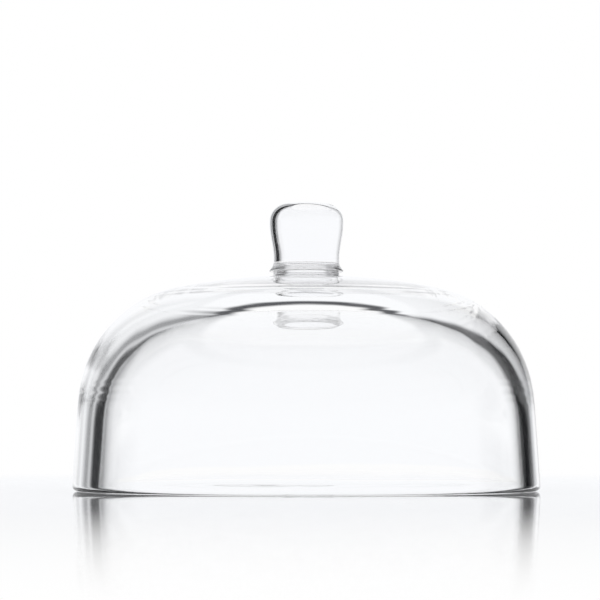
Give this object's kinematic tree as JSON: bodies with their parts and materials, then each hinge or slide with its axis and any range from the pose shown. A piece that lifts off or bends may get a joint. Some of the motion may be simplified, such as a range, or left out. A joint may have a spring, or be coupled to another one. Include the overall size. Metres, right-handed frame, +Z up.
{
  "type": "cheese dome",
  "caption": "Thick clear blown-glass cheese dome with a shallow crown, rounded shoulders, slightly flared sides and a glass knob on top.",
  "frame": {"origin": "centre of the rim, on the table the dome stands on", "axes": "+Z up through the knob; +X towards the thinner side of the wall; -Y is the side seen first"},
  "size_m": [0.2296, 0.2296, 0.1419],
  "materials": {
    "dome_glass": "gloss",
    "seat_glass": "gloss",
    "knob_glass": "gloss"
  },
  "bodies": {
    "root": {"dome_shell": "dome_glass", "knob_seat": "seat_glass", "knob": "knob_glass"}
  },
  "joints": []
}
